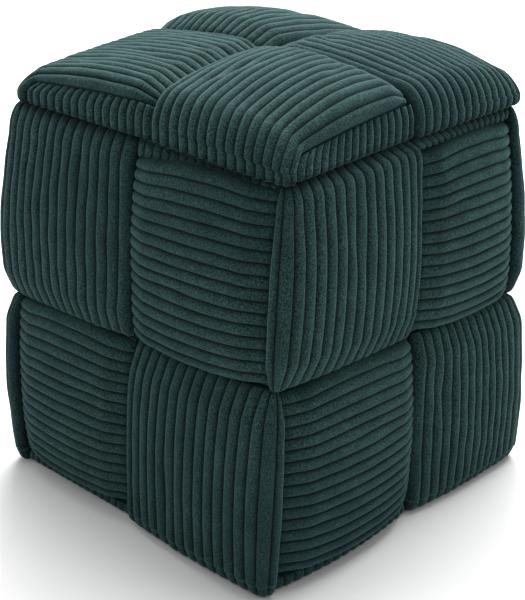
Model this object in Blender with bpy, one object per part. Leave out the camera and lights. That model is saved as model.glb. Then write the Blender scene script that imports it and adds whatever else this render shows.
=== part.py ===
"""Cube pouf stool woven from wide padded bands of ribbed cloth.

The stool is a filled cube cushion with a thick filled seat cushion on top. Each side face is two
squares wide and two squares high. In every square either an upright band or a level band lies
on top, and the other one passes behind it. The seat is woven the same way from four bands that
also run down its sides. The origin is at the middle of the base, on the surface it stands on,
+Z up, in metres. The front face looks along -Y and the right face along +X.
"""

import math

import bmesh
import bpy
from mathutils import Vector

# ---------------------------------------------------------------- driving dimensions
HALF = 0.190                # centre to the fold edges of the bands on a side face, at the foot
RIM_Z = 0.379               # top of the body, where the seat rests
MID_Z = 0.184               # height of the crossing between the two rows
LEVEL_TOP_Z = (0.372, 0.366, 0.364, 0.364)  # upper fold of each face's upper level band
LEVEL_BOTTOM_Z = 0.012      # lower fold of the lower level bands
SEAT_TOP_Z = 0.420          # fold edges of the bands on the seat, where it meets the rim
CLEAR = 0.0003              # gap between two neighbouring pieces
CORNER_CLEAR = 0.0008       # gap where a band ends beside the corner's band
SEAT_SEAM_CLEAR = 0.0004    # what is taken off each side of the seams on the seat's sides
SEAT_STRIP_CLEAR = 0.0015   # gap where a strip of the seat ends below a square's outer fold

RIBS = 16                   # ribs across one band
RIB_HEIGHT = 0.0030         # crest to groove
WALL_CROWN = 0.0115         # how far a square on a side face swells
SEAT_CROWN = (0.0130, 0.0100, 0.0150, 0.0030)  # how far each square of the seat swells
CORNER_CROWN = 0.0040       # how far a band swells where it turns a corner
SIDE_CROWN = 0.0020         # swell of the bands on the seat's own sides
STRIP_SINK = 0.0035         # a short stretch lies this much lower beside a fold
CORNER_R = 0.0140           # turn of a band round an edge of the cube
RIM_ROLL = 0.0130           # roll of the body's upper edge
FOOT_ROLL = 0.0130          # roll of the body's lower edge
HEM_ROLL = 0.0060           # roll of the seat's lower edge
SEAT_ROLL = 0.0260          # roll of the seat's upper edge
SEAT_TURN = math.radians(50.0)      # the outer folds of the seat lie this far round that roll
STRIP_ROUND = 0.0120        # how far a strip of the seat is rounded off at its upper corner

SQUARE_BACK = 0.0090        # back of a square that another band passes behind
BAND_BACK = 0.0131          # back of a band elsewhere
CORE_DEPTH = 0.0146         # face of the cushion inside the bands
CUSHION_GAP = 0.0010        # the seat's cushion lies this far above its bands' lower edge
BODY_BEVEL = 0.0035         # cut of the body cushion's edges
SEAT_BEVEL = 0.0080         # cut of the seat cushion's edges
TAIL_FRONT = 0.0098         # front of the flat stretch that passes behind a square
TAIL_FROM = 0.034           # that stretch lies between these distances from the face's middle
TAIL_TO = 0.138
TAIL_ACROSS = (TAIL_TO, 0.5 * (TAIL_TO + TAIL_FROM), TAIL_FROM)
TAIL_LENGTH = 0.060         # how far a level band reaches behind an upright one
TAIL_MARGIN = 0.0015        # a level band's back is thin this far past the stretch behind it
UPPER_RUN = 0.0270          # the last of an upright square in the upper row has a thick back
LOWER_RUN = 0.0445          # and so has this much of one in the lower row
SEAT_RUN = 0.0255           # and of one on the seat
SETTLED = 0.012             # distance from a square's end where it lies down on its tail
FULL = 0.0335               # distance from a square's end where it is fully padded

END_DIP = 0.0075            # how deep a square's ends dive
END_RUN = 0.024             # length over which they dive
FOLD_DROP = 0.0068          # depth of a folded side edge
DRAW_IN = 0.0035            # how far a square narrows at its ends

TAPER = 0.076               # the body narrows by this share up to the rim
CORNER_PULL = 0.005         # the body's upper corners and the seat's corners are pulled in
CORNER_PULL_START_Z = 0.200
SEAM_SHIFT = 0.013          # the right face's upright seam lies this far behind its middle
EDGE_LEAN = 0.014           # the front right edge leans back by this between foot and rim
CROSSING_LIFT = 0.015       # and the crossing there is this much higher
SEAT_DOME = 0.0150          # the seat's middle is this much higher than its edges
SEAT_CORNER_DROP = 0.0150   # and its corners are this much lower
NEAR_DROP = 0.012           # the rim is this much lower at the front right corner
SEAT_SEAM_SHIFT = 0.022     # the seat's front seam lies this far right of its middle
RIGHT_SWELL = 0.010         # the right face's front half swells by this much at the foot
LEFT_TUCK = 0.012           # the front left corner is tucked in by this much at the foot
CENTRE = (-0.0026, 0.0009)  # brings the middle of the whole to the origin

COLUMNS = 2 * RIBS          # a groove and a crest for each rib
RIGHT_ANGLE = 0.5 * math.pi
BODY_EDGE = (CORNER_R, RIGHT_ANGLE)     # radius of the edge that a band turns, and how far
STRIP_END = HALF - CORNER_R - CORNER_CLEAR
SEAT_BOTTOM_Z = RIM_Z + CLEAR

TEAL = (0.012, 0.062, 0.062, 1.0)
TEAL_SEAT = (0.018, 0.090, 0.088, 1.0)
TEAL_INSIDE = (0.010, 0.045, 0.046, 1.0)


# ---------------------------------------------------------------- small helpers
def smooth(value):
    """A soft step from 0 to 1."""
    value = min(1.0, max(0.0, value))
    return value * value * (3.0 - 2.0 * value)


def mix(start, end, share):
    return start + (end - start) * share


def cloth_material(name, colour):
    material = bpy.data.materials.new(name)
    material.use_nodes = True
    shader = material.node_tree.nodes["Principled BSDF"]
    shader.inputs["Base Color"].default_value = colour
    shader.inputs["Roughness"].default_value = 0.95
    shader.inputs["Metallic"].default_value = 0.0
    return material


def settle(point):
    """The soft cube's own uneven shape, which every piece follows."""
    x, y, z = point
    right, back = x / HALF, y / HALF
    height = min(1.0, z / RIM_Z)
    level = 4.0 * height * (1.0 - height)
    foot = max(0.0, 1.0 - z / MID_Z)
    corner = min(1.05, abs(right * back)) ** 2
    across, depth = max(0.0, 1.0 - right * right), max(0.0, 1.0 - back * back)
    front_right = min(1.02, 0.25 * max(0.0, 1.0 + right) * max(0.0, 1.0 - back)) ** 2
    front_left = min(1.02, 0.25 * max(0.0, 1.0 - right) * max(0.0, 1.0 - back)) ** 4
    on_right = smooth((right - 0.4) / 0.4)

    seam = SEAM_SHIFT * on_right * depth ** 2 * smooth((RIM_Z - z) / RIM_ROLL)
    up_the_seat = min(1.0, max(0.0, (z - SEAT_BOTTOM_Z) / (SEAT_TOP_Z - SEAT_ROLL - SEAT_BOTTOM_Z)))
    seat_seam = SEAT_SEAM_SHIFT * max(0.0, -back) * across * up_the_seat
    bulge = RIGHT_SWELL * foot * on_right * max(0.0, -4.0 * back * (1.0 + back))
    tuck = LEFT_TUCK * foot * front_left
    lean = EDGE_LEAN * (height - 0.35) * front_right * math.sqrt(0.5)
    pull = CORNER_PULL * smooth((z - CORNER_PULL_START_Z) / (RIM_Z - CORNER_PULL_START_Z))
    step = pull * corner ** 2 * math.sqrt(0.5)
    narrow = 1.0 - TAPER * height
    lift = (SEAT_DOME * across * depth - SEAT_CORNER_DROP * corner) * smooth(
        (z - SEAT_BOTTOM_Z) / (SEAT_TOP_Z - SEAT_BOTTOM_Z))
    lift += (CROSSING_LIFT * level - NEAR_DROP * height) * front_right
    sideways = lean + seat_seam + bulge + tuck
    return Vector((x * narrow - math.copysign(step, x) + sideways + CENTRE[0],
                   y * narrow - math.copysign(step, y) + lean + seam + CENTRE[1],
                   z + lift))


def turned(point, face):
    """Turn (u right, b outward, z up), as seen on the front face, to side face 0 to 3."""
    u, b, z = point
    x, y = u, -b
    for _ in range(face):
        x, y = -y, x
    return x, y, z


# ---------------------------------------------------------------- relief of the bands
def swell(column, crown, along, turning):
    """Swell of a square. along runs from -1 to 1 over its length."""
    across = 2.0 * column / COLUMNS - 1.0
    height = crown * (1.0 - abs(across) ** 2.4) * (1.0 - 0.55 * along * along)
    if turning:
        height += CORNER_CROWN * smooth(across) * max(0.0, 1.0 - along * along)
    return height


def dive(distance):
    """How far the cloth has dived at this distance from the end of a square."""
    return END_DIP * (1.0 - smooth(distance / END_RUN))


def relief(column, crown, along, sunk, turning=False):
    """Height of the ribbed cloth over the fold edges."""
    height = swell(column, crown, along, turning) - sunk
    if column in (0, COLUMNS):
        return height - FOLD_DROP + 0.6 * sunk
    rib_share = 0.5 if column % 2 else -0.5
    return height + rib_share * RIB_HEIGHT * (1.0 - 0.4 * sunk / END_DIP)


def narrowed(distance):
    """How far a square is drawn in at this distance from its end."""
    return DRAW_IN * (1.0 - smooth(distance / 0.07))


# ---------------------------------------------------------------- solids from rings
class BandSolid:
    """A closed band: ribbed stretches, joined by flat tails that pass behind other bands."""

    def __init__(self):
        self.points = []
        self.faces = []

    def add(self, points):
        first = len(self.points)
        self.points.extend(points)
        return list(range(first, len(self.points)))

    def skin(self, loop_a, loop_b):
        """Join two rings of points with faces."""
        for index, (a, b) in enumerate(zip(loop_a, loop_b)):
            self.faces.append((a, loop_a[index - 1], loop_b[index - 1], b))

    def stretch(self, rings):
        """A ribbed stretch through rings of front and back points."""
        loops = [self.add(ring) for ring in rings]
        for loop_a, loop_b in zip(loops, loops[1:]):
            self.skin(loop_a, loop_b)
        return loops

    def close(self, loop):
        self.faces.append(tuple(loop))

    def close_round_tail(self, loop, tail_front):
        """Close a stretch round the tail that leaves it, and return the tail's ring.

        The ring's last point but one, and the two before it, are the tail's back.
        """
        front = self.add(tail_front)
        self.faces.append(tuple(loop[:-3] + front + loop[-2:]))
        return [loop[-4]] + front + [loop[-2], loop[-3]]

    def build(self, name, material, place):
        mesh = bpy.data.meshes.new(name)
        mesh.from_pydata([settle(place(point)) for point in self.points], [], self.faces)
        mesh.materials.append(material)
        body = bmesh.new()
        body.from_mesh(mesh)
        bmesh.ops.recalc_face_normals(body, faces=body.faces)
        body.to_mesh(mesh)
        body.free()
        bpy.context.collection.objects.link(bpy.data.objects.new(name, mesh))


# ---------------------------------------------------------------- rings across a band
# A ring runs across a band: its ribbed front from the face's middle towards the corner, then
# its back. Each of its points is (u, rise), rise being the height over the fold edges.
def turning_front(column, edge, inset, height):
    """Front point of a band that turns over an edge of the cube."""
    corner, turn = edge
    flat = HALF - corner
    way = column / COLUMNS * (flat + turn * corner)
    radius = max(corner - inset + height, 0.0012)
    if way <= flat:
        return way, radius - corner
    angle = (way - flat) / corner
    return flat + radius * math.sin(angle), radius * math.cos(angle) - corner


def ring_across(edge, back, crown, along, sunk=0.0, inset=0.0, narrow=0.0, strip_end=STRIP_END):
    """Points (u, rise) round a section of a band. edge is None where it turns over none."""
    flatten = 1.0 - inset / CORNER_R
    front = []
    for column in range(COLUMNS + 1):
        height = relief(column, crown, along, sunk, bool(edge)) * flatten
        if edge:
            u, rise = turning_front(column, edge, inset, height)
        else:
            u, rise = strip_end * column / COLUMNS, height - inset
        slack = max(0.0, 1.0 - 2.0 * column / COLUMNS)
        front.append((u + (0.5 * CLEAR + narrow) * slack, rise))
    if edge:
        corner, turn = edge
        flat, inner = HALF - corner, max(corner - back, 0.0012)
        end = [(flat + inner * math.sin(turn), inner * math.cos(turn) - corner),
               (flat + (corner - back) * math.tan(0.5 * turn), -back)]
    else:
        end = [(strip_end, -back)]
    return front + end + [(u, -back) for u in TAIL_ACROSS + (0.5 * CLEAR + narrow,)]


def tail_across(b, z):
    """Points across an upright band's or a seat band's tail."""
    return [(u, b, z) for u in TAIL_ACROSS]


def upright(ring, z):
    """Place a ring level, at height z on a side face."""
    return [(u, HALF + rise, z) for u, rise in ring]


def rim_rings(edge, crown, sunk, lowest_z):
    """The roll over the body's upper edge, from the top down to a height on the wall."""
    rings = []
    for angle in (80.0, 42.0, 0.0):
        z = RIM_Z - RIM_ROLL * (1.0 - math.sin(math.radians(angle)))
        if z > lowest_z + 0.003:
            rings.append((z, RIM_ROLL * (1.0 - math.cos(math.radians(angle)))))
    below = max(0.0, 1.0 - (RIM_Z - lowest_z) / RIM_ROLL)
    rings.append((lowest_z, RIM_ROLL * (1.0 - math.sqrt(1.0 - below * below))))
    return [upright(ring_across(edge, BAND_BACK, crown, 1.0, sunk, inset), z)
            for z, inset in rings]


def foot_rings(edge, crown, sunk, bottom_z, roll, narrow=0.0):
    """The roll at a lower edge, from the wall down."""
    rings = []
    for share, inset in ((1.0, 0.0), (0.3, 0.26), (0.0, 0.80)):
        ring = ring_across(edge, BAND_BACK, crown, 1.0, sunk, inset * roll, narrow)
        rings.append(upright(ring, bottom_z + share * roll))
    return rings


# ---------------------------------------------------------------- the bands of the body
def square_rings(start, end, run_out):
    """Sections of a square between its diving end and its other end.

    Yields the distance from the diving end, its place from -1 to 1 and its back's depth.
    """
    length = abs(end - start)
    for distance, back in ((0.0, BAND_BACK), (SETTLED, BAND_BACK), (FULL, SQUARE_BACK),
                           (0.5 * (FULL + length - run_out), SQUARE_BACK),
                           (length - run_out, SQUARE_BACK)):
        yield distance, 2.0 * distance / length - 1.0, back


def tail_loops(solid, upper_loop, lower_loop, upper_z, lower_z):
    """The flat stretch between an upright band's two ribbed stretches."""
    front = HALF - TAIL_FRONT
    upper_tail = solid.close_round_tail(upper_loop, tail_across(front, upper_z))
    lower_tail = solid.close_round_tail(lower_loop, tail_across(front, lower_z))
    above = upper_tail
    for share in (0.2, 0.5, 0.8):
        z = mix(upper_z, lower_z, share)
        back = tail_across(HALF - BAND_BACK, z)
        below = solid.add([back[0]] + tail_across(front, z) + [back[2], back[1]])
        solid.skin(above, below)
        above = below
    solid.skin(above, lower_tail)


def upright_band_over_above(face, material):
    """An upright band that lies on top in the upper row. It turns the face's left corner."""
    solid = BandSolid()
    start = MID_Z + 0.5 * CLEAR
    rings = rim_rings(BODY_EDGE, WALL_CROWN, 0.0, RIM_Z - RIM_ROLL)
    square = []
    for distance, along, back in square_rings(start, RIM_Z - RIM_ROLL, UPPER_RUN):
        ring = ring_across(BODY_EDGE, back, WALL_CROWN, along, dive(distance), 0.0,
                           narrowed(distance))
        square.append(upright(ring, start + distance))
    upper = solid.stretch(rings + square[::-1])
    solid.close(upper[0])

    strip_z = LEVEL_BOTTOM_Z - CORNER_CLEAR
    strip = foot_rings(None, 0.0, STRIP_SINK, 0.0, FOOT_ROLL)
    strip[0] = upright(ring_across(None, BAND_BACK, 0.0, 1.0, STRIP_SINK), strip_z)
    lower = solid.stretch(strip)
    solid.close(lower[-1])
    tail_loops(solid, upper[-1], lower[0], start, strip_z)
    solid.build(f"upright_band_{face}a", material, lambda p: turned((-p[0], p[1], p[2]), face))


def upright_band_over_below(face, material):
    """An upright band that lies on top in the lower row. It turns the face's right corner."""
    solid = BandSolid()
    strip_z = LEVEL_TOP_Z[face] + CORNER_CLEAR
    upper = solid.stretch(rim_rings(None, 0.0, STRIP_SINK, strip_z))
    solid.close(upper[0])

    start = MID_Z - 0.5 * CLEAR
    square = []
    for distance, along, back in square_rings(start, 0.0, LOWER_RUN):
        ring = ring_across(BODY_EDGE, back, WALL_CROWN, along, dive(distance), 0.0,
                           narrowed(distance))
        square.append(upright(ring, start - distance))
    lower = solid.stretch(square + foot_rings(BODY_EDGE, WALL_CROWN, 0.0, 0.0, FOOT_ROLL))
    solid.close(lower[-1])
    tail_loops(solid, upper[-1], lower[0], strip_z, start)
    solid.build(f"upright_band_{face}b", material, lambda p: turned(p, face))


def level_band(name, face, side, z_low, z_high, material):
    """A level band over one square, with a tail behind the face's upright band.

    side is 1 where the square lies right of the face's middle and -1 where it lies left.
    """
    solid = BandSolid()
    start = 0.5 * CLEAR
    tail_z = (z_high - TAIL_FROM, 0.5 * (z_high + z_low), z_low + TAIL_FROM)
    end_run = STRIP_END - TAIL_TO - TAIL_MARGIN
    rings = []
    sections = list(square_rings(start, STRIP_END, end_run))
    sections.append((STRIP_END - SETTLED - start, 0.86, BAND_BACK))
    sections.append((STRIP_END - start, 1.0, BAND_BACK))
    for distance, along, back in sections:
        nearest = min(distance, STRIP_END - start - distance)
        sunk = dive(nearest)
        shrink = narrowed(nearest)
        low, high = z_low + shrink, z_high - shrink
        ring = []
        for column in range(COLUMNS + 1):
            z = mix(low, high, column / COLUMNS)
            ring.append((start + distance, HALF + relief(column, WALL_CROWN, along, sunk), z))
        for z in (high, *tail_z, low):
            ring.append((start + distance, HALF - back, z))
        rings.append(ring)
    loops = solid.stretch(rings)
    solid.close(loops[-1])
    tail = solid.close_round_tail(loops[0], [(start, HALF - TAIL_FRONT, z) for z in tail_z])
    end = [(-TAIL_LENGTH, HALF - BAND_BACK, tail_z[0])]
    end += [(-TAIL_LENGTH, HALF - TAIL_FRONT, z) for z in tail_z]
    end += [(-TAIL_LENGTH, HALF - BAND_BACK, z) for z in tail_z[:0:-1]]
    end_loop = solid.add(end)
    solid.skin(tail, end_loop)
    solid.close(end_loop)
    solid.build(name, material, lambda p: turned((side * p[0], p[1], p[2]), face))


# ---------------------------------------------------------------- the bands of the seat
def seat_roll_point(rise, angle):
    """Place (b, z) at a rise over the seat's rolled edge, from its side (0) to its top."""
    reach = SEAT_ROLL + rise
    return (HALF - SEAT_ROLL + reach * math.cos(angle),
            SEAT_TOP_Z - SEAT_ROLL + reach * math.sin(angle))


def over_the_rim(ring, angle):
    """Place a ring on the seat's rolled edge."""
    return [(u, *seat_roll_point(rise, angle)) for u, rise in ring]


def seat_strip():
    """Sections of a seat band where it comes out from under a square and goes down the side."""
    steepest = RIGHT_ANGLE - SEAT_TURN
    top_angle = steepest - SEAT_STRIP_CLEAR / SEAT_ROLL
    rings = []
    for angle in (top_angle, 0.5 * top_angle, 0.0):
        strip_end = HALF - CORNER_R - SEAT_STRIP_CLEAR - STRIP_ROUND * (angle / steepest) ** 2
        ring = ring_across(None, BAND_BACK, 0.0, 1.0, 0.5 * STRIP_SINK, 0.0, SEAT_SEAM_CLEAR,
                           strip_end)
        rings.append(over_the_rim(ring, angle))
    rings += foot_rings(None, 0.0, 0.5 * STRIP_SINK, SEAT_BOTTOM_Z, HEM_ROLL, SEAT_SEAM_CLEAR)[1:]
    return top_angle, [[(u, -b, z) for u, b, z in ring] for ring in rings]


def seat_band(face, material):
    """A band of the seat: up one side, over one square, behind the next and down."""
    solid = BandSolid()
    rings = foot_rings(BODY_EDGE, SIDE_CROWN, 0.0, SEAT_BOTTOM_Z, HEM_ROLL, SEAT_SEAM_CLEAR)[:0:-1]
    for share in (0.0, 0.25, 0.5, 0.75, 1.0):
        edge = (mix(CORNER_R, SEAT_ROLL, share), mix(RIGHT_ANGLE, SEAT_TURN, share))
        crown = mix(SIDE_CROWN, SEAT_CROWN[face], smooth(share))
        ring = ring_across(edge, BAND_BACK, crown, 1.0, narrow=SEAT_SEAM_CLEAR)
        rings.append(over_the_rim(ring, share * RIGHT_ANGLE))
    start = 0.5 * CLEAR
    square = []
    for distance, along, back in square_rings(start, HALF - SEAT_ROLL, SEAT_RUN):
        ring = ring_across((SEAT_ROLL, SEAT_TURN), back, SEAT_CROWN[face], along, dive(distance),
                           0.0, narrowed(distance))
        square.append([(u, start + distance, SEAT_TOP_Z + rise) for u, rise in ring])
    top = solid.stretch(rings + square[::-1])
    solid.close(top[0])

    top_angle, strip = seat_strip()
    down = solid.stretch(strip)
    solid.close(down[-1])

    tail = solid.close_round_tail(top[-1], tail_across(start, SEAT_TOP_Z - TAIL_FRONT))
    bends = [((b, SEAT_TOP_Z - TAIL_FRONT), (b, SEAT_TOP_Z - BAND_BACK))
             for b in (FULL, TAIL_ACROSS[1])]
    for angle in (RIGHT_ANGLE, 0.5 * (RIGHT_ANGLE + top_angle)):
        bends.append((seat_roll_point(-TAIL_FRONT, angle), seat_roll_point(-BAND_BACK, angle)))
    for front, back in bends:
        across = tail_across(-back[0], back[1])
        bend = solid.add([across[0]] + tail_across(-front[0], front[1]) + [across[2], across[1]])
        solid.skin(tail, bend)
        tail = bend
    end = seat_roll_point(-TAIL_FRONT, top_angle)
    solid.skin(tail, solid.close_round_tail(down[0], tail_across(-end[0], end[1])))
    solid.build(f"seat_band_{face}", material, lambda p: turned(p, face))


# ---------------------------------------------------------------- the cushions
def cushion(name, low_z, high_z, bevel, material):
    """A filled cushion that the bands are woven round."""
    half = HALF - CORE_DEPTH
    body = bmesh.new()
    bmesh.ops.create_cube(body, size=1.0)
    for vert in body.verts:
        vert.co = Vector((2.0 * half * vert.co.x, 2.0 * half * vert.co.y,
                          mix(low_z, high_z, vert.co.z + 0.5)))
    bmesh.ops.bevel(body, geom=body.edges[:], offset=bevel, segments=1, affect="EDGES")
    bmesh.ops.triangulate(body, faces=[])
    for axis in ((1, 0, 0), (0, 1, 0)):
        for share in (-0.8, -0.5, 0.0, 0.5, 0.8):
            place = Vector(axis) * share * half
            geometry = body.verts[:] + body.edges[:] + body.faces[:]
            bmesh.ops.bisect_plane(body, geom=geometry, plane_co=place, plane_no=axis)
    for z in (MID_Z, 0.62 * RIM_Z, 0.75 * RIM_Z, 0.88 * RIM_Z):
        place = Vector((0.0, 0.0, z))
        if low_z < z < high_z:
            geometry = body.verts[:] + body.edges[:] + body.faces[:]
            bmesh.ops.bisect_plane(body, geom=geometry, plane_co=place, plane_no=(0, 0, 1))
    for vert in body.verts:
        vert.co = settle(vert.co)
    mesh = bpy.data.meshes.new(name)
    body.to_mesh(mesh)
    body.free()
    mesh.materials.append(material)
    bpy.context.collection.objects.link(bpy.data.objects.new(name, mesh))


def main():
    for obj in list(bpy.data.objects):
        bpy.data.objects.remove(obj, do_unlink=True)
    cloth = cloth_material("ribbed_cloth", TEAL)
    seat_cloth = cloth_material("ribbed_seat_cloth", TEAL_SEAT)
    inner_cloth = cloth_material("inner_cloth", TEAL_INSIDE)
    for face in range(4):
        upright_band_over_above(face, cloth)
        upright_band_over_below(face, cloth)
        level_band(f"level_band_upper_{face}", face, 1, MID_Z + 0.5 * CLEAR, LEVEL_TOP_Z[face],
                   cloth)
        level_band(f"level_band_lower_{face}", face, -1, LEVEL_BOTTOM_Z, MID_Z - 0.5 * CLEAR,
                   cloth)
        seat_band(face, seat_cloth)
    cushion("body_cushion", 0.0, RIM_Z, BODY_BEVEL, inner_cloth)
    cushion("seat_cushion", SEAT_BOTTOM_Z + CUSHION_GAP, SEAT_TOP_Z - CORE_DEPTH, SEAT_BEVEL,
            inner_cloth)


main()
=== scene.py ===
"""Looks of the cube pouf stool: padded bands of ribbed cloth, woven round a filled body and seat.

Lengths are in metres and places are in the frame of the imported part: +Z up, the front face
looks along -Y and the right face along +X. A band is worked out on the front face, as
(u to the right of the face's middle, b outward from the stool's middle, z up). It is then
turned to its own face, and at last follows the soft cube's uneven shape.
"""

import math

import bmesh
import bpy
import numpy as np
from mathutils import Matrix, Vector


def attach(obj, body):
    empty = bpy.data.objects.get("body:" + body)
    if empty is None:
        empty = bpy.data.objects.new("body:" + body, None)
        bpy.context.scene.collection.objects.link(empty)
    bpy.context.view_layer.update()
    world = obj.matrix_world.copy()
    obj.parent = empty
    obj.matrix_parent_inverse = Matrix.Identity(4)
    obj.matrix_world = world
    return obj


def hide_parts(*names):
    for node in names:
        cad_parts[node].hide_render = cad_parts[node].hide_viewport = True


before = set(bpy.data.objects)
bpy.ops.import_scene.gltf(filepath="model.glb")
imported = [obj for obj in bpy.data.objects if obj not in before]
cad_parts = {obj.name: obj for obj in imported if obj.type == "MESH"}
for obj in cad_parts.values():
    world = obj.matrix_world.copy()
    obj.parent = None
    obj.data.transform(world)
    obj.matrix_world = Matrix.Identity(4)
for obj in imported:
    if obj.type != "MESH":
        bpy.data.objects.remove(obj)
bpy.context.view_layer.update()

# ---------------------------------------------------------------- sizes shared with the solids
HALF = 0.190                # centre to the fold edges of the bands on a side face, at the foot
RIM_Z = 0.379               # top of the body, where the seat rests
MID_Z = 0.184               # height of the crossing between the two rows
LEVEL_TOP_Z = (0.372, 0.366, 0.364, 0.364)      # upper fold of each face's upper level band
LEVEL_BOTTOM_Z = 0.012      # lower fold of the lower level bands
SEAT_TOP_Z = 0.420          # fold edges of the bands on top of the seat
CLEAR = 0.0003              # gap between two neighbouring pieces
CORNER_CLEAR = 0.0008       # gap where a band ends beside the corner's band
RIBS = 16                   # ribs across one band
WALL_CROWN = 0.0115         # how far a square on a side face swells
SEAT_CROWN = (0.0130, 0.0100, 0.0180, 0.0030)   # swell of the seat's squares; the third one's
                                                # solid swells 3 mm less
CORNER_CROWN = 0.0040       # how far a band swells where it turns a corner
SIDE_CROWN = 0.0020         # swell of the bands on the seat's own sides
STRIP_SINK = 0.0035         # a short stretch lies this much lower beside a fold
CORNER_R = 0.0140           # turn of a band round an edge of the cube
RIM_ROLL = 0.0130           # roll of the body's upper edge
FOOT_ROLL = 0.0130          # roll of the body's lower edge
HEM_ROLL = 0.0060           # roll of the seat's lower edge
SEAT_ROLL = 0.0260          # roll of the seat's upper edge
SEAT_TURN = math.radians(50.0)      # the outer folds of the seat lie this far round that roll
SQUARE_BACK = 0.0090        # back of a square that another band passes behind
BAND_BACK = 0.0131          # back of a band elsewhere
TAIL_FRONT = 0.0098         # front of the flat stretch that passes behind a square
TAIL_FROM = 0.034           # that stretch lies between these distances from the face's middle
TAIL_TO = 0.138
TAIL_LENGTH = 0.060         # how far a level band reaches behind an upright one
CORE_DEPTH = 0.0146         # face of the cushion inside the bands
CUSHION_GAP = 0.0010        # the seat's cushion lies this far above its bands' lower edge
STRIP_ROUND = 0.0120        # how far a strip of the seat is rounded off at its upper corner
RIGHT_ANGLE = 0.5 * math.pi
STRIP_END = HALF - CORNER_R - CORNER_CLEAR
SEAT_BOTTOM_Z = RIM_Z + CLEAR

# The soft cube's uneven shape, also in the solids
TAPER = 0.076               # the body narrows by this share up to the rim
CORNER_PULL = 0.005         # the body's upper corners and the seat's corners are pulled in
CORNER_PULL_START_Z = 0.200
SEAM_SHIFT = 0.013          # the right face's upright seam lies this far behind its middle
EDGE_LEAN = 0.014           # the front right edge leans back by this between foot and rim
LEAN_PIVOT = 0.35           # and stays in place at this share of its height
CROSSING_LIFT = 0.015       # the crossing there is this much higher
SEAT_DOME = 0.0150          # the seat's middle is this much higher than its edges
SEAT_CORNER_DROP = 0.0150   # and its corners are this much lower
NEAR_DROP = 0.012           # the rim is this much lower at the front right corner
SEAT_SEAM_SHIFT = 0.022     # the seat's front seam lies this far right of its middle
RIGHT_SWELL = 0.010         # the right face's front half swells by this much at the foot
LEFT_TUCK = 0.012           # the front left corner is tucked in by this much at the foot
CENTRE = (-0.0026, 0.0009)  # brings the middle of the whole to the origin
DIAGONAL = math.sqrt(0.5)   # share of a diagonal move that runs along x, and along y
CORNER_LIMIT = 1.05         # a corner's weight stops growing here, beyond the plan's corners
NEAR_LIMIT = 1.02           # and the weight of one corner alone here
RIGHT_FROM = 0.4            # what only the right face does sets in here, in half widths
RIGHT_RUN = 0.4

# ---------------------------------------------------------------- finer shape, in the looks alone
SEAT_SEAM_RUN = 0.125       # the seat's front seam sets in over this share of its side
LEFT_FOOT_IN = 0.0050       # the front left corner is pulled in by this much more at the foot
LEFT_FOOT_TOP_Z = 0.12
LEFT_PUSH = 0.0045          # and pushed out by this much under the rim
LEFT_PUSH_START_Z = 0.18
LEFT_PUSH_RUN = 0.12
SEAT_LEFT_IN = 0.0060       # and the seat's corner there is pulled in by this much
SEAT_LEFT_LIFT = 0.0055     # the seat's left side is this much higher
SEAT_LIFT_FROM = -0.5       # which sets in here, in half widths towards the back
SEAT_LIFT_RUN = 0.6
SEAT_BACK_DROP = 0.0035     # and its back left corner is this much lower
THIN_FROM = 0.0335          # a square's back is thin between these distances from its diving end
THIN_TO = 0.1395
THIN_TO_UPPER = 0.1550      # which is further on an upright square of the upper row
SLANT_SEAM = (-0.008, -0.001, -0.003, 0.001)    # lift of each upper level band's fold at the seam
SLANT_CORNER = (0.0045, 0.000, 0.003, -0.002)   # and where it meets the corner
SLANT_RUN = 0.04            # the lift fades out this far beyond the seam
SLANT_HEIGHT = 0.11         # and this far below the fold

# ---------------------------------------------------------------- finer sizes of the cloth
RIB_RELIEF = 0.0036         # groove to crest of a cord
RIB_MEAN = 0.58             # share of the relief that lies under the fold edges' level
CORD_SQUARE = 2.3           # how square a cord's section is
CORD_FULL = 0.75            # and how steep at its grooves, less being steeper
GROOVE_STEPS = (0.0, 0.05, 0.15, 0.31, 0.5, 0.69, 0.85, 0.95)   # places across one cord
FOLD_RUN = 0.0090           # width of a folded side edge
FOLD_DEPTH = 0.0085         # depth of a folded side edge
END_DIP = 0.0065            # how deep a square's ends dive
END_RUN = 0.030             # length over which they dive
END_TUCK = 0.0055           # the last of the cloth bends down by this much more
END_TUCK_RUN = 0.0085
STRIP_DIP = 0.0040          # how much lower a short stretch lies where it goes under a fold
STRIP_RUN = 0.0110
SEAT_STRIP_SINK = 0.5 * STRIP_SINK
CROWN_POWER = 2.4           # how flat-topped a square swells across, a parabola being 2
CROWN_LOSS = 0.55           # share of the swell that a square has lost at its ends
DRAW_IN = 0.0035            # how far a square narrows at its ends
DRAW_IN_RUN = 0.07
BULGE = 0.0022              # how far a square's side edge overhangs at its middle
BODY_STRETCH = 1.50         # length of a turn on its padding, on the body
SEAT_STRETCH = 1.25         # and on the seat
GAP_SHADE_RUN = 0.0100          # painted shade: the cloth's colour is darkened within this of the gap under the seat
RIM_DROP = 0.0300           # height of the soft roll at the top of an upright square
SEAT_SIDE_LENGTH = 0.05     # a seat band's way from its hem to its square, for its unevenness
STEP = 0.0026               # length of one face along a band
TAIL_STEP = 0.03            # and along its hidden stretches
ROLL_COUNT = 9              # rings round a rolled edge
ROLL_END = 80.0             # a rolled edge ends this many degrees round
LEAST_RADIUS = 0.0012       # the tightest turn of a band's back
BACK_CUT = 0.001            # how far the corners of a band's back are cut off
CUSHION_SQUARE = 14.0       # how square a cushion is from above, a circle being 2
BODY_CUSHION_EDGE = 0.004   # rounding of a cushion's edges
SEAT_CUSHION_EDGE = 0.011
CUSHION_STEP = 0.02         # height of one face on its side
CUSHION_ANGLE = 3.0         # and its width, in degrees
EDGE_COUNT = 4              # rings round its edge
RIB_WANDER = 0.0011         # how far a cord strays sideways
LUMP = 0.0009               # uneven filling of a square
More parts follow.
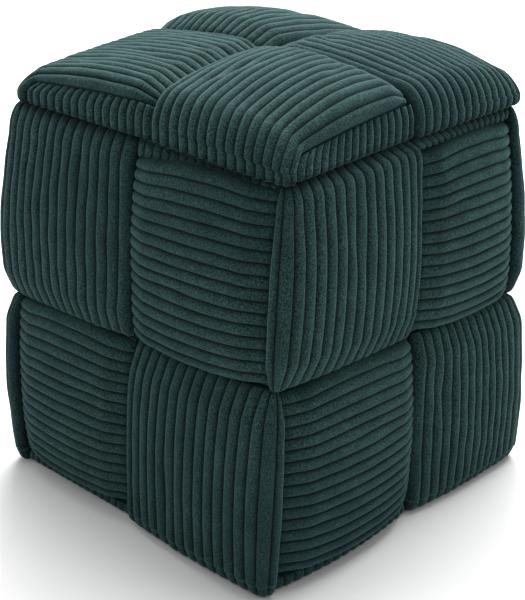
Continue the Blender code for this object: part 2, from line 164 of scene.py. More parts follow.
STRIP_LUMP = 0.3            # share of that on a short stretch
WAVES = ((0.19, 0.31), (0.083, 0.12), (0.041, 0.055))   # lengths of the waves of unevenness
BAND_PHASE = 2.4            # how the waves shift from band to band
WAVE_PHASE = 1.7            # from wave to wave
CROSS_PHASE = 2.1           # and for the waves that run across them
WANDER_SEED = 5.0           # sets a cord's straying apart from the band's unevenness

# A band's seed is its kind's number plus its face's, and sets its unevenness and its creases.
UPRIGHT_ABOVE, UPRIGHT_BELOW, SEAT, LEVEL_UPPER, LEVEL_LOWER = 1.0, 11.0, 21.0, 31.0, 41.0

# Creases of each band: place along the band, way across it, slant, length, width and depth.
CREASES = {
    SEAT: ((0.095, 0.045, 0.35, 0.040, 0.007, 0.0022),
           (0.170, 0.120, -0.5, 0.030, 0.008, 0.0020)),
    SEAT + 1: ((0.120, 0.150, 0.25, 0.050, 0.008, 0.0026),
               (0.180, 0.050, 0.60, 0.026, 0.007, 0.0020)),
    SEAT + 2: ((0.110, 0.060, -0.3, 0.045, 0.009, 0.0022),),
    SEAT + 3: ((0.150, 0.110, 0.30, 0.055, 0.010, 0.0018),
               (0.190, 0.055, -0.4, 0.030, 0.007, 0.0020),
               (0.080, 0.140, 0.15, 0.035, 0.008, 0.0014)),
    UPRIGHT_ABOVE: ((0.330, 0.060, 0.10, 0.026, 0.008, 0.0024),),
    UPRIGHT_ABOVE + 1: ((0.300, 0.100, 0.30, 0.040, 0.009, 0.0024),
                        (0.210, 0.040, -0.2, 0.022, 0.007, 0.0018)),
    UPRIGHT_BELOW: ((0.060, 0.070, 0.20, 0.035, 0.009, 0.0022),),
    UPRIGHT_BELOW + 1: ((0.110, 0.040, -0.3, 0.030, 0.008, 0.0022),),
    LEVEL_UPPER: ((0.060, 0.070, 0.25, 0.045, 0.009, 0.0028),
                  (0.130, 0.140, -0.3, 0.030, 0.008, 0.0020)),
    LEVEL_UPPER + 1: ((0.050, 0.120, 0.20, 0.035, 0.009, 0.0024),),
    LEVEL_LOWER: ((0.045, 0.100, -0.2, 0.035, 0.010, 0.0028),),
    LEVEL_LOWER + 1: ((0.070, 0.110, 0.30, 0.045, 0.009, 0.0026),
                      (0.120, 0.050, -0.3, 0.028, 0.008, 0.0020)),
}


# ---------------------------------------------------------------- the soft cube
def smooth(value):
    """A soft step from 0 to 1."""
    value = np.clip(value, 0.0, 1.0)
    return value * value * (3.0 - 2.0 * value)


def settle(points):
    """The soft cube's own uneven shape, which every piece follows."""
    x, y, z = np.moveaxis(points, -1, 0)
    right, back = x / HALF, y / HALF
    height = np.minimum(1.0, z / RIM_Z)
    level = 4.0 * height * (1.0 - height)
    foot = np.maximum(0.0, 1.0 - z / MID_Z)

    # Weights over the plan. across and depth are 1 midway between two sides and 0 at them, to_left
    # and its like grow from 0 at the opposite side to 2, and a corner's weight is 1 at that corner.
    corner = np.minimum(CORNER_LIMIT, abs(right * back)) ** 2
    across, depth = np.maximum(0.0, 1.0 - right * right), np.maximum(0.0, 1.0 - back * back)
    to_left, to_right = np.maximum(0.0, 1.0 - right), np.maximum(0.0, 1.0 + right)
    to_front, to_back = np.maximum(0.0, 1.0 - back), np.maximum(0.0, 1.0 + back)
    front_right = np.minimum(NEAR_LIMIT, 0.25 * to_right * to_front) ** 2
    front_left = np.minimum(NEAR_LIMIT, 0.25 * to_left * to_front) ** 4
    back_left = np.minimum(NEAR_LIMIT, 0.25 * to_left * to_back) ** 4
    left_side = 0.25 * to_left ** 2 * depth * smooth((back - SEAT_LIFT_FROM) / SEAT_LIFT_RUN)
    on_right = smooth((right - RIGHT_FROM) / RIGHT_RUN)

    seam = SEAM_SHIFT * on_right * depth ** 2 * smooth((RIM_Z - z) / RIM_ROLL)
    up_the_seat = (z - SEAT_BOTTOM_Z) / (SEAT_TOP_Z - SEAT_ROLL - SEAT_BOTTOM_Z)
    seat_seam = SEAT_SEAM_SHIFT * np.maximum(0.0, -back) * across * smooth(up_the_seat / SEAT_SEAM_RUN)
    bulge = RIGHT_SWELL * foot * on_right * np.maximum(0.0, -4.0 * back * (1.0 + back))
    tuck = LEFT_TUCK * foot * front_left
    lean = EDGE_LEAN * (height - LEAN_PIVOT) * front_right * DIAGONAL
    pull = CORNER_PULL * smooth((z - CORNER_PULL_START_Z) / (RIM_Z - CORNER_PULL_START_Z))
    step = pull * corner ** 2 * DIAGONAL
    narrow = 1.0 - TAPER * height
    push = LEFT_FOOT_IN * smooth((LEFT_FOOT_TOP_Z - z) / LEFT_FOOT_TOP_Z)
    push = push - LEFT_PUSH * smooth((z - LEFT_PUSH_START_Z) / LEFT_PUSH_RUN)
    push = np.where(z > RIM_Z, SEAT_LEFT_IN, push)
    sideways = lean + seat_seam + bulge + tuck + push * np.sqrt(front_left)

    lift = SEAT_DOME * across * depth - SEAT_CORNER_DROP * corner
    lift = lift + SEAT_LEFT_LIFT * left_side - SEAT_BACK_DROP * back_left
    lift = lift * smooth((z - SEAT_BOTTOM_Z) / (SEAT_TOP_Z - SEAT_BOTTOM_Z))
    lift = lift + (CROSSING_LIFT * level - NEAR_DROP * height) * front_right
    return np.stack((x * narrow - np.copysign(step, x) + sideways + CENTRE[0],
                     y * narrow - np.copysign(step, y) + lean + seam + CENTRE[1],
                     z + lift), -1)


def mix(start, end, share):
    """The value this share of the way from start to end."""
    return start + (end - start) * share


def turned(points, face):
    """Turn (u right, b outward, z up), as seen on the front face, to side face 0 to 3."""
    x, y = points[..., 0], -points[..., 1]
    for _ in range(face):
        x, y = -y, x
    return np.stack((x, y, points[..., 2]), -1)


# ---------------------------------------------------------------- relief of the bands
SHARES = np.array([(rib + step) / RIBS for rib in range(RIBS) for step in GROOVE_STEPS] + [1.0])
ACROSS_CORD = abs(2.0 * (SHARES * RIBS % 1.0) - 1.0)    # 1 in a groove, 0 on a crest
CORD = (1.0 - ACROSS_CORD ** CORD_SQUARE) ** CORD_FULL  # height, 0 in a groove and 1 on a crest


def uneven(seed, along, across):
    """Soft unevenness from -1 to 1. along and across are in metres."""
    total = 0.0
    for index, (wave_a, wave_b) in enumerate(WAVES):
        phase = BAND_PHASE * seed + WAVE_PHASE * index
        total = total + np.sin(2.0 * math.pi * (along / wave_a + across / wave_b) + phase)
        total = total + np.sin(2.0 * math.pi * (along / wave_b - across / wave_a)
                               + CROSS_PHASE * phase)
    return total / (2.0 * len(WAVES))


def creases(seed, place, ways):
    """Depth of the listed creases of a band, at a place along it and these ways across it."""
    depth = np.zeros_like(ways)
    for where, across, slant, length, width, deep in CREASES.get(seed, ()):
        run = (place - where) * math.cos(slant) + (ways - across) * math.sin(slant)
        off = (ways - across) * math.cos(slant) - (place - where) * math.sin(slant)
        depth = depth + deep * np.exp(-(run / length) ** 2 - (off / width) ** 2)
    return depth


def dive(distance):
    """How far the cloth has dived at this distance from the end of a square."""
    tuck = max(0.0, 1.0 - distance / END_TUCK_RUN)
    slope = 1.0 - float(smooth(distance / END_RUN))
    return END_DIP * slope + END_TUCK * (1.0 - math.sqrt(1.0 - tuck * tuck))


def strip_sunk(distance):
    """How low a short stretch lies at this distance from the fold that it comes out from under."""
    return STRIP_SINK + STRIP_DIP * float(1.0 - smooth(distance / STRIP_RUN))


def fold(edge):
    """Depth of a folded side edge, at these distances from it."""
    near = np.clip(1.0 - edge / FOLD_RUN, 0.0, 1.0)
    return FOLD_DEPTH * (1.0 - np.sqrt(1.0 - near * near))


def drawn_in(distance, along):
    """How far a square's side edge is drawn in."""
    ends = DRAW_IN * (1.0 - float(smooth(distance / DRAW_IN_RUN)))
    return ends - BULGE * max(0.0, 1.0 - along * along)


def square_back(distance, last=THIN_TO):
    """Depth of a square's back, which is thin where another band passes behind it."""
    return SQUARE_BACK if THIN_FROM <= distance <= last else BAND_BACK


def cloth_height(seed, place, width, crown, along, sunk, turning):
    """Ways across a band, and how high the ribbed cloth stands over the fold edges there."""
    across = 2.0 * SHARES - 1.0
    ways = SHARES * width
    height = crown * (1.0 - abs(across) ** CROWN_POWER) * (1.0 - CROWN_LOSS * along * along)
    if turning:
        height = height + CORNER_CROWN * smooth(across) * max(0.0, 1.0 - along * along)
    height = height + LUMP * uneven(seed, place, ways) * (1.0 if crown else STRIP_LUMP)
    height = height - creases(seed, place, ways)
    height = height + RIB_RELIEF * (CORD - RIB_MEAN) - sunk - fold(ways) - fold(width - ways)
    wander = RIB_WANDER * uneven(seed + WANDER_SEED, place, ways)
    ways = ways + wander * np.sin(math.pi * SHARES)
    return ways, height


# ---------------------------------------------------------------- rings across a band
# A ring is a closed row of points round a section of a band: the ribbed front, from the fold at
# the face's middle to the outer fold, and then the back. Its points are (u, b, z).
def course_ring(point, tilt=0.0, roll=0.0, shrink=0.0, corner=0.0, turn=RIGHT_ANGLE, square=3.0,
                strip_end=STRIP_END, back=BAND_BACK, seed=0.0, place=0.0, crown=0.0, along=1.0,
                sunk=0.0, distance=1.0):
    """Ring of a band whose course runs up a side, or over the seat, through point (b, z).

    tilt turns the section from a wall's (0) to the seat top's (a right angle). roll turns the
    ribs' rise further, where the cloth rolls over an edge, and shrink is how far it has rolled
    in. corner is the radius of the edge that the band turns, or 0, turn is how far round it
    goes, and square makes that turn squarer than a circle, which is 2.
    """
    flat = HALF - corner if corner else strip_end
    arc = corner * (SEAT_STRETCH if corner > CORNER_R else BODY_STRETCH)
    width = flat + turn * arc
    ways, height = cloth_height(seed, place, width, crown, along, sunk, corner > 0.0)
    height = height * (1.0 - shrink / CORNER_R)
    angle = np.clip((ways - flat) / arc, 0.0, turn) if corner else np.zeros_like(ways)
    squarer = (np.sin(angle) ** square + np.cos(angle) ** square) ** (-1.0 / square)
    reach = (corner - shrink) * squarer if corner else -shrink
    reach = reach + height * math.cos(roll)
    shift = drawn_in(distance, along) if crown else 0.0
    u = np.minimum(ways, flat) + reach * np.sin(angle)
    u = u + (0.5 * CLEAR + shift) * np.maximum(0.0, 1.0 - 2.0 * SHARES)
    out = reach * np.cos(angle) - corner
    up = height * math.sin(roll)

    inner = max(corner - back, LEAST_RADIUS)
    if corner:
        u = np.append(u, (flat + inner * math.sin(turn), flat + inner * math.sin(0.5 * turn)))
        out = np.append(out, (inner * math.cos(turn) - corner,
                              inner * math.cos(0.5 * turn) - corner))
    else:
        u = np.append(u, (strip_end, strip_end))
        out = np.append(out, (BACK_CUT - back, -back))
    u = np.append(u, 0.5 * CLEAR + max(shift, 0.0))
    out = np.append(out, -back)
    up = np.append(up, (0.0, 0.0, 0.0))
    b = point[0] + math.cos(tilt) * out - math.sin(tilt) * up
    z = point[1] + math.sin(tilt) * out + math.cos(tilt) * up
    return np.stack((u, b, z), -1)


def level_ring(u, low, high, seed, crown, along, sunk, distance, back):
    """Ring of a level band, at u along a face, between its two folds."""
    ways, height = cloth_height(seed, u, high - low, crown, along, sunk, False)
    shift = drawn_in(distance, along)
    z = low + ways + shift * (1.0 - 2.0 * SHARES)
    z = np.append(z, (high - BACK_CUT, high - BACK_CUT, low + BACK_CUT))
    b = np.append(HALF + height, (HALF - back + BACK_CUT, HALF - back, HALF - back))
    return np.stack((np.full_like(z, u), b, z), -1)


def tail_ring(front, back):
    """Ring of the flat stretch behind another band, its front and back through (b, z)."""
    u = np.append(TAIL_FROM + (TAIL_TO - TAIL_FROM) * SHARES, (TAIL_TO, TAIL_TO, TAIL_FROM))
    behind = np.arange(len(u)) >= len(SHARES)
    b = np.where(behind, back[0], front[0])
    z = np.where(behind, back[1], front[1])
    return np.stack((u, b, z), -1)


def steps(start, end, length=STEP):
    """Even steps between two places, both included."""
    return np.linspace(start, end, max(2, int(math.ceil(abs(end - start) / length)) + 1))


def roll_steps(radius, first, last):
    """The angle, the inward shrink and the height left, over a roll's steps (in degrees)."""
    for angle in np.radians(np.linspace(first, last, ROLL_COUNT)):
        yield angle, radius * (1.0 - math.cos(angle)), radius * (1.0 - abs(math.sin(angle)))


def wall_tail(top, bottom):
    """The hidden stretch of an upright band between two heights."""
    return [tail_ring((HALF - TAIL_FRONT, z), (HALF - BAND_BACK, z))
            for z in steps(top, bottom, TAIL_STEP)]


# ---------------------------------------------------------------- the bands
def upright_over_above(face):
    """An upright band that lies on top in the upper row. It turns the face's left corner."""
    seed = UPRIGHT_ABOVE + face
    start, top = MID_Z + 0.5 * CLEAR, RIM_Z - RIM_DROP
    rings = []
    for angle, shrink, left in roll_steps(RIM_ROLL, ROLL_END, 0.0):
        z = RIM_Z - left * RIM_DROP / RIM_ROLL
        rings.append(course_ring((HALF, z), roll=0.5 * angle, shrink=shrink, corner=CORNER_R,
                                 seed=seed, place=z, crown=WALL_CROWN))
    for z in steps(top, start)[1:]:
        distance = z - start
        along = 2.0 * distance / (top - start) - 1.0
        rings.append(course_ring((HALF, z), corner=CORNER_R, seed=seed, place=z, crown=WALL_CROWN,
                                 along=along, sunk=dive(distance), distance=distance,
                                 back=square_back(distance, THIN_TO_UPPER)))
    strip_z = LEVEL_BOTTOM_Z - CORNER_CLEAR
    rings += wall_tail(start, strip_z)
    first = -math.degrees(math.asin(1.0 - strip_z / FOOT_ROLL))
    for angle, shrink, left in roll_steps(FOOT_ROLL, first, -ROLL_END):
        rings.append(course_ring((HALF, left), roll=angle, shrink=shrink, seed=seed, place=left,
                                 sunk=strip_sunk(strip_z - left)))
    return [ring * (-1.0, 1.0, 1.0) for ring in rings]


def upright_over_below(face):
    """An upright band that lies on top in the lower row. It turns the face's right corner."""
    seed = UPRIGHT_BELOW + face
    strip_z = LEVEL_TOP_Z[face] + CORNER_CLEAR
    last = math.degrees(math.asin(max(0.0, 1.0 - (RIM_Z - strip_z) / RIM_ROLL)))
    rings = []
    for angle, shrink, left in roll_steps(RIM_ROLL, ROLL_END, last):
        rings.append(course_ring((HALF, RIM_Z - left), roll=angle, shrink=shrink, seed=seed,
                                 place=RIM_Z - left, sunk=strip_sunk(RIM_Z - left - strip_z)))
    if RIM_Z - RIM_ROLL > strip_z:
        for z in steps(RIM_Z - RIM_ROLL, strip_z)[1:]:
            rings.append(course_ring((HALF, z), seed=seed, place=z, sunk=strip_sunk(z - strip_z)))
    start = MID_Z - 0.5 * CLEAR
    rings += wall_tail(strip_z, start)
    for z in steps(start, FOOT_ROLL):
        distance = start - z
        along = 2.0 * distance / start - 1.0
        rings.append(course_ring((HALF, z), corner=CORNER_R, seed=seed, place=z, crown=WALL_CROWN,
                                 along=along, sunk=dive(distance), distance=distance,
                                 back=square_back(distance)))
    for angle, shrink, left in roll_steps(FOOT_ROLL, 0.0, -ROLL_END):
        rings.append(course_ring((HALF, left), roll=angle, shrink=shrink, corner=CORNER_R,
                                 seed=seed, place=left, crown=WALL_CROWN))
    return rings


def level_over(seed, side, low, high):
    """A level band over one square. side is 1 right of the face's middle and -1 left of it."""
    start = 0.5 * CLEAR
    length = STRIP_END - start
    middle = 0.5 * (high + low)
    rings = []
    for u in steps(-TAIL_LENGTH, start, TAIL_STEP):
        ring = tail_ring((HALF - TAIL_FRONT, 0.0), (HALF - BAND_BACK, 0.0))
        z = middle + (ring[:, 0] - 0.5 * (TAIL_FROM + TAIL_TO))
        rings.append(np.stack((np.full_like(z, u), ring[:, 1], z), -1))
    for distance in steps(0.0, length):
        nearest = min(distance, length - distance)
        rings.append(level_ring(start + distance, low, high, seed, WALL_CROWN,
                                2.0 * distance / length - 1.0, dive(nearest), nearest,
                                square_back(start + distance)))
    return [ring * (side, 1.0, 1.0) for ring in rings]


def seat_side_and_square(face, seed):
    """The stretch of a seat band that goes up one side, over the rolled edge and over its square."""
    low, wall_top = SEAT_BOTTOM_Z + HEM_ROLL, SEAT_TOP_Z - SEAT_ROLL
    crown = SEAT_CROWN[face]
    rings = []
    for angle, shrink, left in roll_steps(HEM_ROLL, -ROLL_END, 0.0):
        rings.append(course_ring((HALF, SEAT_BOTTOM_Z + left), roll=angle, shrink=shrink,
                                 corner=CORNER_R, seed=seed, place=left, crown=SIDE_CROWN))
    for z in steps(low, wall_top)[1:]:
        rings.append(course_ring((HALF, z), corner=CORNER_R, seed=seed, place=z - SEAT_BOTTOM_Z,
                                 crown=SIDE_CROWN))
    for share in np.linspace(0.0, 1.0, 2 * ROLL_COUNT - 1)[1:]:
        tilt = share * RIGHT_ANGLE
        point = (HALF - SEAT_ROLL * (1.0 - math.cos(tilt)), wall_top + SEAT_ROLL * math.sin(tilt))
        rings.append(course_ring(point, tilt=tilt, corner=mix(CORNER_R, SEAT_ROLL, share),
                                 turn=mix(RIGHT_ANGLE, SEAT_TURN, share), square=3.0 - share,
                                 seed=seed, place=wall_top - SEAT_BOTTOM_Z + SEAT_ROLL * tilt,
                                 crown=mix(SIDE_CROWN, crown, float(smooth(share)))))
    start, length = 0.5 * CLEAR, HALF - SEAT_ROLL - 0.5 * CLEAR
    for distance in steps(length, 0.0)[1:]:
        rings.append(course_ring((start + distance, SEAT_TOP_Z), tilt=RIGHT_ANGLE, corner=SEAT_ROLL,
                                 turn=SEAT_TURN, square=2.0, seed=seed,
                                 place=SEAT_SIDE_LENGTH + length - distance, crown=crown,
                                 along=2.0 * distance / length - 1.0, sunk=dive(distance),
                                 distance=distance, back=square_back(distance)))
    return rings


def seat_tail(top_angle):
    """The hidden stretch of a seat band, behind the next square and round the rolled edge."""
    high, deep = SEAT_TOP_Z - TAIL_FRONT, SEAT_TOP_Z - BAND_BACK
    middle = (-(HALF - SEAT_ROLL), SEAT_TOP_Z - SEAT_ROLL)
    rings = [tail_ring((b, high), (b, deep)) for b in steps(0.5 * CLEAR, middle[0], TAIL_STEP)]
    front, behind = SEAT_ROLL - TAIL_FRONT, SEAT_ROLL - BAND_BACK
    for angle in (0.5 * (RIGHT_ANGLE + top_angle), top_angle):
        across, rise = -math.cos(angle), math.sin(angle)
        rings.append(tail_ring((middle[0] + front * across, middle[1] + front * rise),
                               (middle[0] + behind * across, middle[1] + behind * rise)))
    return rings


def seat_strip(top_angle, seed):
    """The stretch of a seat band that comes out from under a fold and goes down to the hem."""
    low, wall_top = SEAT_BOTTOM_Z + HEM_ROLL, SEAT_TOP_Z - SEAT_ROLL
    strip = []
    for angle in np.linspace(top_angle, 0.0, ROLL_COUNT):
        point = (HALF - SEAT_ROLL * (1.0 - math.cos(angle)), wall_top + SEAT_ROLL * math.sin(angle))
        strip_end = STRIP_END - STRIP_ROUND * (angle / (RIGHT_ANGLE - SEAT_TURN)) ** 2
        strip.append(course_ring(point, tilt=angle, strip_end=strip_end, seed=seed,
                                 place=SEAT_ROLL * angle, sunk=SEAT_STRIP_SINK))
    for z in steps(wall_top, low)[1:]:
        strip.append(course_ring((HALF, z), seed=seed, place=z - wall_top, sunk=SEAT_STRIP_SINK))
    for angle, shrink, left in roll_steps(HEM_ROLL, 0.0, -ROLL_END):
        strip.append(course_ring((HALF, SEAT_BOTTOM_Z + left), roll=angle, shrink=shrink,
                                 seed=seed, place=left, sunk=SEAT_STRIP_SINK))
    return [ring * (1.0, -1.0, 1.0) for ring in strip]


def over_the_seat(face):
    """A band of the seat: up one side, over one square, behind the next and down."""
    seed = SEAT + face
    top_angle = RIGHT_ANGLE - SEAT_TURN - CORNER_CLEAR / SEAT_ROLL
    return seat_side_and_square(face, seed) + seat_tail(top_angle) + seat_strip(top_angle, seed)


def slanted(points, face):
    """Slant the upper fold of a face's upper level band, and what lies beside it."""
    top = LEVEL_TOP_Z[face]
    u, z = points[..., 0], points[..., 2]
    slant = mix(SLANT_SEAM[face], SLANT_CORNER[face], np.clip(u / HALF, 0.0, 1.0))
    slant = slant * smooth(1.0 + u / SLANT_RUN)
    near = np.where(z > top, (RIM_Z - z) / (RIM_Z - top), 1.0 - (top - z) / SLANT_HEIGHT)
    points[..., 2] = z + slant * np.clip(near, 0.0, 1.0)


def placed(rings, face, low_z, high_z):
    """Rings turned to their face, kept between two heights, and settled, and a factor of painted
    shade.

    That factor is 0 in the gap under the seat and 1 away from it, and darkens the cloth's colour there
    as painted shade.
    """
    points = np.array(rings)
    points[..., 2] = np.clip(points[..., 2], low_z, high_z)
    if low_z == 0.0:
        slanted(points, face)
    # painted shade: the cloth's colour darkens towards the gap under the seat
    gap_shade_factor = smooth(abs(points[..., 2] - RIM_Z) / GAP_SHADE_RUN)
    return settle(turned(points, face)), gap_shade_factor


def all_bands():
    """Every band: its node's name, its rings and their factor of painted shade in the gap under the
    seat.
    """
    for face in range(4):
        body = (face, 0.0, RIM_Z)
        yield f"upright_band_{face}a", *placed(upright_over_above(face), *body)
        yield f"upright_band_{face}b", *placed(upright_over_below(face), *body)
        upper = level_over(LEVEL_UPPER + face, 1.0, MID_Z + 0.5 * CLEAR, LEVEL_TOP_Z[face])
        yield f"level_band_upper_{face}", *placed(upper, *body)
        lower = level_over(LEVEL_LOWER + face, -1.0, LEVEL_BOTTOM_Z, MID_Z - 0.5 * CLEAR)
        yield f"level_band_lower_{face}", *placed(lower, *body)
        yield f"seat_band_{face}", *placed(over_the_seat(face), face, SEAT_BOTTOM_Z, math.inf)


# ---------------------------------------------------------------- meshes
def loft(name, rings, crest=(), gap_shade_factor=1.0):
    """A closed mesh through rings of points.

    crest holds the cords' height, which the colour uses as painted shade in the grooves, and the gap
    factor lowers it as painted shade in the gap under the seat.
    """
    count, around = rings.shape[:2]
    index = np.arange(count * around).reshape(count, around)
    following = np.roll(index, -1, axis=1)
    quads = np.stack((index[:-1], following[:-1], following[1:], index[1:]), -1).reshape(-1, 4)
    faces = quads.tolist() + [index[0][::-1].tolist(), index[-1].tolist()]
    mesh = bpy.data.meshes.new(name)
    mesh.from_pydata(rings.reshape(-1, 3).tolist(), [], faces)
    work = bmesh.new()
    work.from_mesh(mesh)
    bmesh.ops.recalc_face_normals(work, faces=work.faces)
    work.to_mesh(mesh)
    work.free()
    mesh.shade_smooth()
    # painted shade: the cords' height darkens the colour in the grooves
    heights = np.zeros((count, around), np.float32)
    heights[:, :len(crest)] = crest
    # painted shade: darker colour in the gap under the seat
    heights *= gap_shade_factor
    mesh.attributes.new("crest", "FLOAT", "POINT").data.foreach_set("value", heights.ravel())
    piece = bpy.data.objects.new(name, mesh)
    bpy.context.collection.objects.link(piece)
    return piece


def cushion_rings(low_z, high_z, edge):
    """Rings of a filled cushion with rounded edges, which the bands are woven round."""
    half = HALF - CORE_DEPTH
    angles = np.radians(np.arange(0.0, 360.0, CUSHION_ANGLE))
    squarer = abs(np.cos(angles)) ** CUSHION_SQUARE + abs(np.sin(angles)) ** CUSHION_SQUARE
    squarer = squarer ** (-1.0 / CUSHION_SQUARE)
    rounds = np.radians(np.linspace(0.0, 90.0, EDGE_COUNT))
    low = [(low_z + edge * (1.0 - math.sin(a)), edge * (1.0 - math.cos(a))) for a in rounds[::-1]]
    high = [(high_z - edge * (1.0 - math.sin(a)), edge * (1.0 - math.cos(a))) for a in rounds]
    walls = [(z, 0.0) for z in steps(low_z + edge, high_z - edge, CUSHION_STEP)[1:-1]]
    rings = []
    for z, inset in low + walls + high:
        reach = (half - inset) * squarer
        rings.append(np.stack((reach * np.cos(angles), reach * np.sin(angles),
                               np.full_like(angles, z)), -1))
    return settle(np.array(rings))


# ---------------------------------------------------------------- cloth materials
class Nodes:
    """Short calls for a material's nodes."""

    def __init__(self, name):
        self.material = bpy.data.materials.new(name)
        self.material.use_nodes = True
        self.tree = self.material.node_tree
        self.shader = self.tree.nodes["Principled BSDF"]
        self.place = self.new("ShaderNodeTexCoord").outputs["Object"]

    def new(self, kind, **settings):
        """A new node with these settings."""
        node = self.tree.nodes.new(kind)
        for key, value in settings.items():
            setattr(node, key, value)
        return node

    def link(self, source, target):
        """Feed a socket from another node's socket, or with a plain value."""
        if hasattr(source, "node"):
            self.tree.links.new(source, target)
        else:
            target.default_value = source

    def noise(self, scale, detail=2.0, roughness=0.5):
        """Noise in the object's own space, with this many cells to a metre."""
        node = self.new("ShaderNodeTexNoise")
        self.link(self.place, node.inputs["Vector"])
        node.inputs["Scale"].default_value = scale
        node.inputs["Detail"].default_value = detail
        node.inputs["Roughness"].default_value = roughness
        return node.outputs["Fac"]

    def spread(self, value, low, high, to_low=0.0, to_high=1.0):
        """Stretch the values between low and high over to_low to to_high."""
        node = self.new("ShaderNodeMapRange")
        for socket, amount in zip(node.inputs[:5], (value, low, high, to_low, to_high)):
            self.link(amount, socket)
        return node.outputs["Result"]

    def calculate(self, operation, first, second):
        """The result of a sum or product of two values."""
        node = self.new("ShaderNodeMath", operation=operation)
        self.link(first, node.inputs[0])
        self.link(second, node.inputs[1])
        return node.outputs["Value"]

    def blend(self, factor, first, second, kind="MIX"):
        """Two colours mixed, or multiplied, by this factor."""
        node = self.new("ShaderNodeMix", data_type="RGBA", blend_type=kind)
        self.link(factor, node.inputs["Factor"])
        self.link(first, node.inputs["A"])
        self.link(second, node.inputs["B"])
        return node.outputs["Result"]

    def bump(self, height, distance, strength, normal=None):
        """Fine relief of the surface, on top of another one if that is given."""
        node = self.new("ShaderNodeBump")
        self.link(height, node.inputs["Height"])
        node.inputs["Distance"].default_value = distance
        node.inputs["Strength"].default_value = strength
        if normal is not None:
            self.link(normal, node.inputs["Normal"])
        return node.outputs["Normal"]


GRAIN, TUFTS, MOTTLE, PATCHES = 1080.0, 520.0, 38.0, 6.5    # cells of each noise to a metre
INNER_MOTTLE = 60.0
WEAVE = 260.0               # scale of the inner cloth's threads
PILE_DARK = (0.0012, 0.0050, 0.0053, 1.0)
PILE_MIDDLE = (0.0080, 0.0255, 0.0260, 1.0)
PILE_LIGHT = (0.0440, 0.1010, 0.1000, 1.0)
PILE_BLUISH = (0.0085, 0.0245, 0.0310, 1.0)
INNER_DARK = (0.008, 0.026, 0.027, 1.0)
INNER_LIGHT = (0.014, 0.042, 0.043, 1.0)
INNER_THREAD = (0.022, 0.06, 0.06, 1.0)


def ribbed_cloth():
    """Soft cut pile in wide cords: painted shade darkens the grooves and the gap under the seat;
    mottled, with a fine grain.
    """
    cloth = Nodes("ribbed_cloth")
    crest = cloth.new("ShaderNodeAttribute", attribute_name="crest").outputs["Fac"]
    grain = cloth.noise(GRAIN, detail=1.0, roughness=0.7)
    tufts = cloth.noise(TUFTS, roughness=0.6)
    mottle = cloth.noise(MOTTLE, detail=3.0, roughness=0.6)
    patches = cloth.noise(PATCHES, detail=1.0)

    fine = cloth.spread(grain, 0.47, 0.62)
    coarse = cloth.spread(tufts, 0.38, 0.66)
    tone = cloth.calculate("ADD", cloth.calculate("MULTIPLY", fine, 0.62),
                           cloth.calculate("MULTIPLY", coarse, 0.38))
    colour = cloth.blend(tone, PILE_DARK, PILE_LIGHT)
    colour = cloth.blend(0.15, colour, PILE_MIDDLE)
    colour = cloth.blend(cloth.spread(patches, 0.45, 0.65, to_high=0.35), colour, PILE_BLUISH)
    shade = cloth.spread(mottle, 0.30, 0.70, to_low=0.82, to_high=1.12)
    # painted shade: the colour darkens in the grooves between the cords and in the gap under the seat
    depth = cloth.spread(crest, 0.0, 0.9, to_low=0.18, to_high=1.05)
    value = cloth.new("ShaderNodeCombineColor")
    level = cloth.calculate("MULTIPLY", shade, depth)
    for socket in value.inputs[:3]:
        cloth.link(level, socket)
    colour = cloth.blend(1.0, colour, value.outputs["Color"], "MULTIPLY")

    shader = cloth.shader
    cloth.link(colour, shader.inputs["Base Color"])
    shader.inputs["Roughness"].default_value = 0.92
    shader.inputs["Specular IOR Level"].default_value = 0.10
    shader.inputs["Sheen Weight"].default_value = 0.16
    shader.inputs["Sheen Roughness"].default_value = 0.45
    shader.inputs["Sheen Tint"].default_value = (0.40, 0.85, 0.85, 1.0)
    normal = cloth.bump(tufts, 0.0011, 0.6)
    cloth.link(cloth.bump(grain, 0.0006, 0.75, normal), shader.inputs["Normal"])
    return cloth.material


def inner_cloth():
    """Plain close-woven cloth of the cushions, seen only from below and deep in the gaps."""
    cloth = Nodes("inner_cloth")
    mottle = cloth.noise(INNER_MOTTLE, detail=3.0)
    warp = cloth.new("ShaderNodeTexWave", bands_direction="X")
    weft = cloth.new("ShaderNodeTexWave", bands_direction="Y")
    for wave in (warp, weft):
        cloth.link(cloth.place, wave.inputs["Vector"])
        wave.inputs["Scale"].default_value = WEAVE
    weave = cloth.calculate("MULTIPLY", warp.outputs["Fac"], weft.outputs["Fac"])
    colour = cloth.blend(cloth.spread(mottle, 0.3, 0.7), INNER_DARK, INNER_LIGHT)
    colour = cloth.blend(cloth.calculate("MULTIPLY", weave, 0.5), colour, INNER_THREAD)
    cloth.link(colour, cloth.shader.inputs["Base Color"])
    cloth.shader.inputs["Roughness"].default_value = 0.95
    cloth.shader.inputs["Specular IOR Level"].default_value = 0.1
    cloth.link(cloth.bump(weave, 0.0004, 0.5), cloth.shader.inputs["Normal"])
    return cloth.material


# ---------------------------------------------------------------- the stool
pile = ribbed_cloth()
for node, rings, gap_shade_factor in all_bands():
    # the cords' height also paints shade into the grooves' colour
    band = loft("cloth_" + node, rings, CORD, gap_shade_factor)
    band.data.materials.append(pile)
    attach(band, "root")
    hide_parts(node)

lining = inner_cloth()
for node, low_z, high_z, edge in (
        ("body_cushion", 0.0, RIM_Z, BODY_CUSHION_EDGE),
        ("seat_cushion", SEAT_BOTTOM_Z + CUSHION_GAP, SEAT_TOP_Z - CORE_DEPTH, SEAT_CUSHION_EDGE)):
    cushion = loft("filled_" + node, cushion_rings(low_z, high_z, edge))
    cushion.data.materials.append(lining)
    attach(cushion, "root")
    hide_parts(node)

# ---------------------------------------------------------------- floor, light and camera
FLOOR_HALF = 12.0
FLOOR_TONE = (0.74, 0.74, 0.74, 1.0)
LAMP_AIM_Z = 0.2            # height that the lamps face

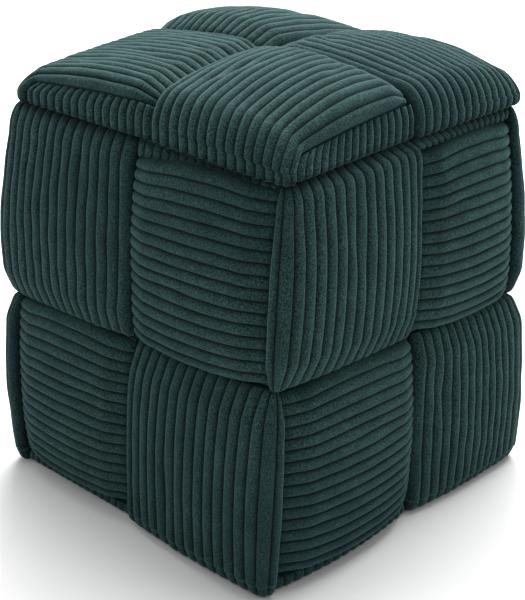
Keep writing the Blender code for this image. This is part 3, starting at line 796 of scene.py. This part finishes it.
floor_mesh = bpy.data.meshes.new("floor")
floor_mesh.from_pydata([(FLOOR_HALF * x, FLOOR_HALF * y, 0.0)
                        for x, y in ((-1, -1), (1, -1), (1, 1), (-1, 1))], [], [(0, 1, 2, 3)])
floor = bpy.data.objects.new("floor", floor_mesh)
bpy.context.collection.objects.link(floor)
pale = Nodes("pale_floor")
pale.shader.inputs["Base Color"].default_value = FLOOR_TONE
pale.shader.inputs["Roughness"].default_value = 1.0
pale.shader.inputs["Specular IOR Level"].default_value = 0.0
floor_mesh.materials.append(pale.material)


def softbox(name, azimuth, elevation, distance, size, power):
    """A square area light that faces the stool. Angles are in degrees and power in watts."""
    light = bpy.data.lights.new(name, "AREA")
    light.size = size
    light.energy = power
    a, e = math.radians(azimuth), math.radians(elevation)
    back = Vector((math.sin(a) * math.cos(e), -math.cos(a) * math.cos(e), math.sin(e)))
    lamp = bpy.data.objects.new(name, light)
    lamp.location = Vector((0.0, 0.0, LAMP_AIM_Z)) + back * distance
    lamp.rotation_euler = back.to_track_quat("Z", "Y").to_euler()
    bpy.context.collection.objects.link(lamp)


softbox("softbox_above", 208.0, 66.0, 2.8, 2.6, 200.0)
softbox("softbox_behind", 222.0, 30.0, 2.8, 1.6, 75.0)
softbox("softbox_left", -35.0, 35.0, 3.0, 1.6, 13.0)
softbox("softbox_right", 120.0, 30.0, 3.0, 1.6, 10.0)

world = bpy.data.worlds.new("studio")
world.use_nodes = True
world.node_tree.nodes["Background"].inputs["Color"].default_value = (1.0, 1.0, 1.0, 1.0)
world.node_tree.nodes["Background"].inputs["Strength"].default_value = 0.50
bpy.context.scene.world = world
bpy.context.scene.view_settings.view_transform = "Standard"

PHOTO_HEIGHT = 600                      # pixels
CAMERA_AZIMUTH = math.radians(43.784)
CAMERA_ELEVATION = math.radians(21.511)
CAMERA_ROLL = math.radians(0.692)
CAMERA_DISTANCE = 1.3118
CAMERA_AIM = (-0.0178, 0.1898)          # right of the axis, and height
CAMERA_FOCUS = 1305.3                   # focal length in pixels of the photo's frame
CAMERA_SHIFT = (-14.8, -12.6)           # centre of the picture, right and down, in pixels

camera_data = bpy.data.cameras.new("camera")
camera = bpy.data.objects.new("camera", camera_data)
bpy.context.collection.objects.link(camera)
right = Vector((math.cos(CAMERA_AZIMUTH), math.sin(CAMERA_AZIMUTH), 0.0))
back = Vector((right.y * math.cos(CAMERA_ELEVATION), -right.x * math.cos(CAMERA_ELEVATION),
               math.sin(CAMERA_ELEVATION)))
up = back.cross(right)
tilted_right = math.cos(CAMERA_ROLL) * right + math.sin(CAMERA_ROLL) * up
tilted_up = math.cos(CAMERA_ROLL) * up - math.sin(CAMERA_ROLL) * right
pose = Matrix((tilted_right, tilted_up, back)).transposed().to_4x4()
pose.translation = right * CAMERA_AIM[0] + Vector((0.0, 0.0, CAMERA_AIM[1])) + back * CAMERA_DISTANCE
camera.matrix_world = pose
camera_data.lens = CAMERA_FOCUS * camera_data.sensor_width / PHOTO_HEIGHT
camera_data.shift_x = -CAMERA_SHIFT[0] / PHOTO_HEIGHT
camera_data.shift_y = CAMERA_SHIFT[1] / PHOTO_HEIGHT
bpy.context.scene.camera = camera

bpy.context.view_layer.update()
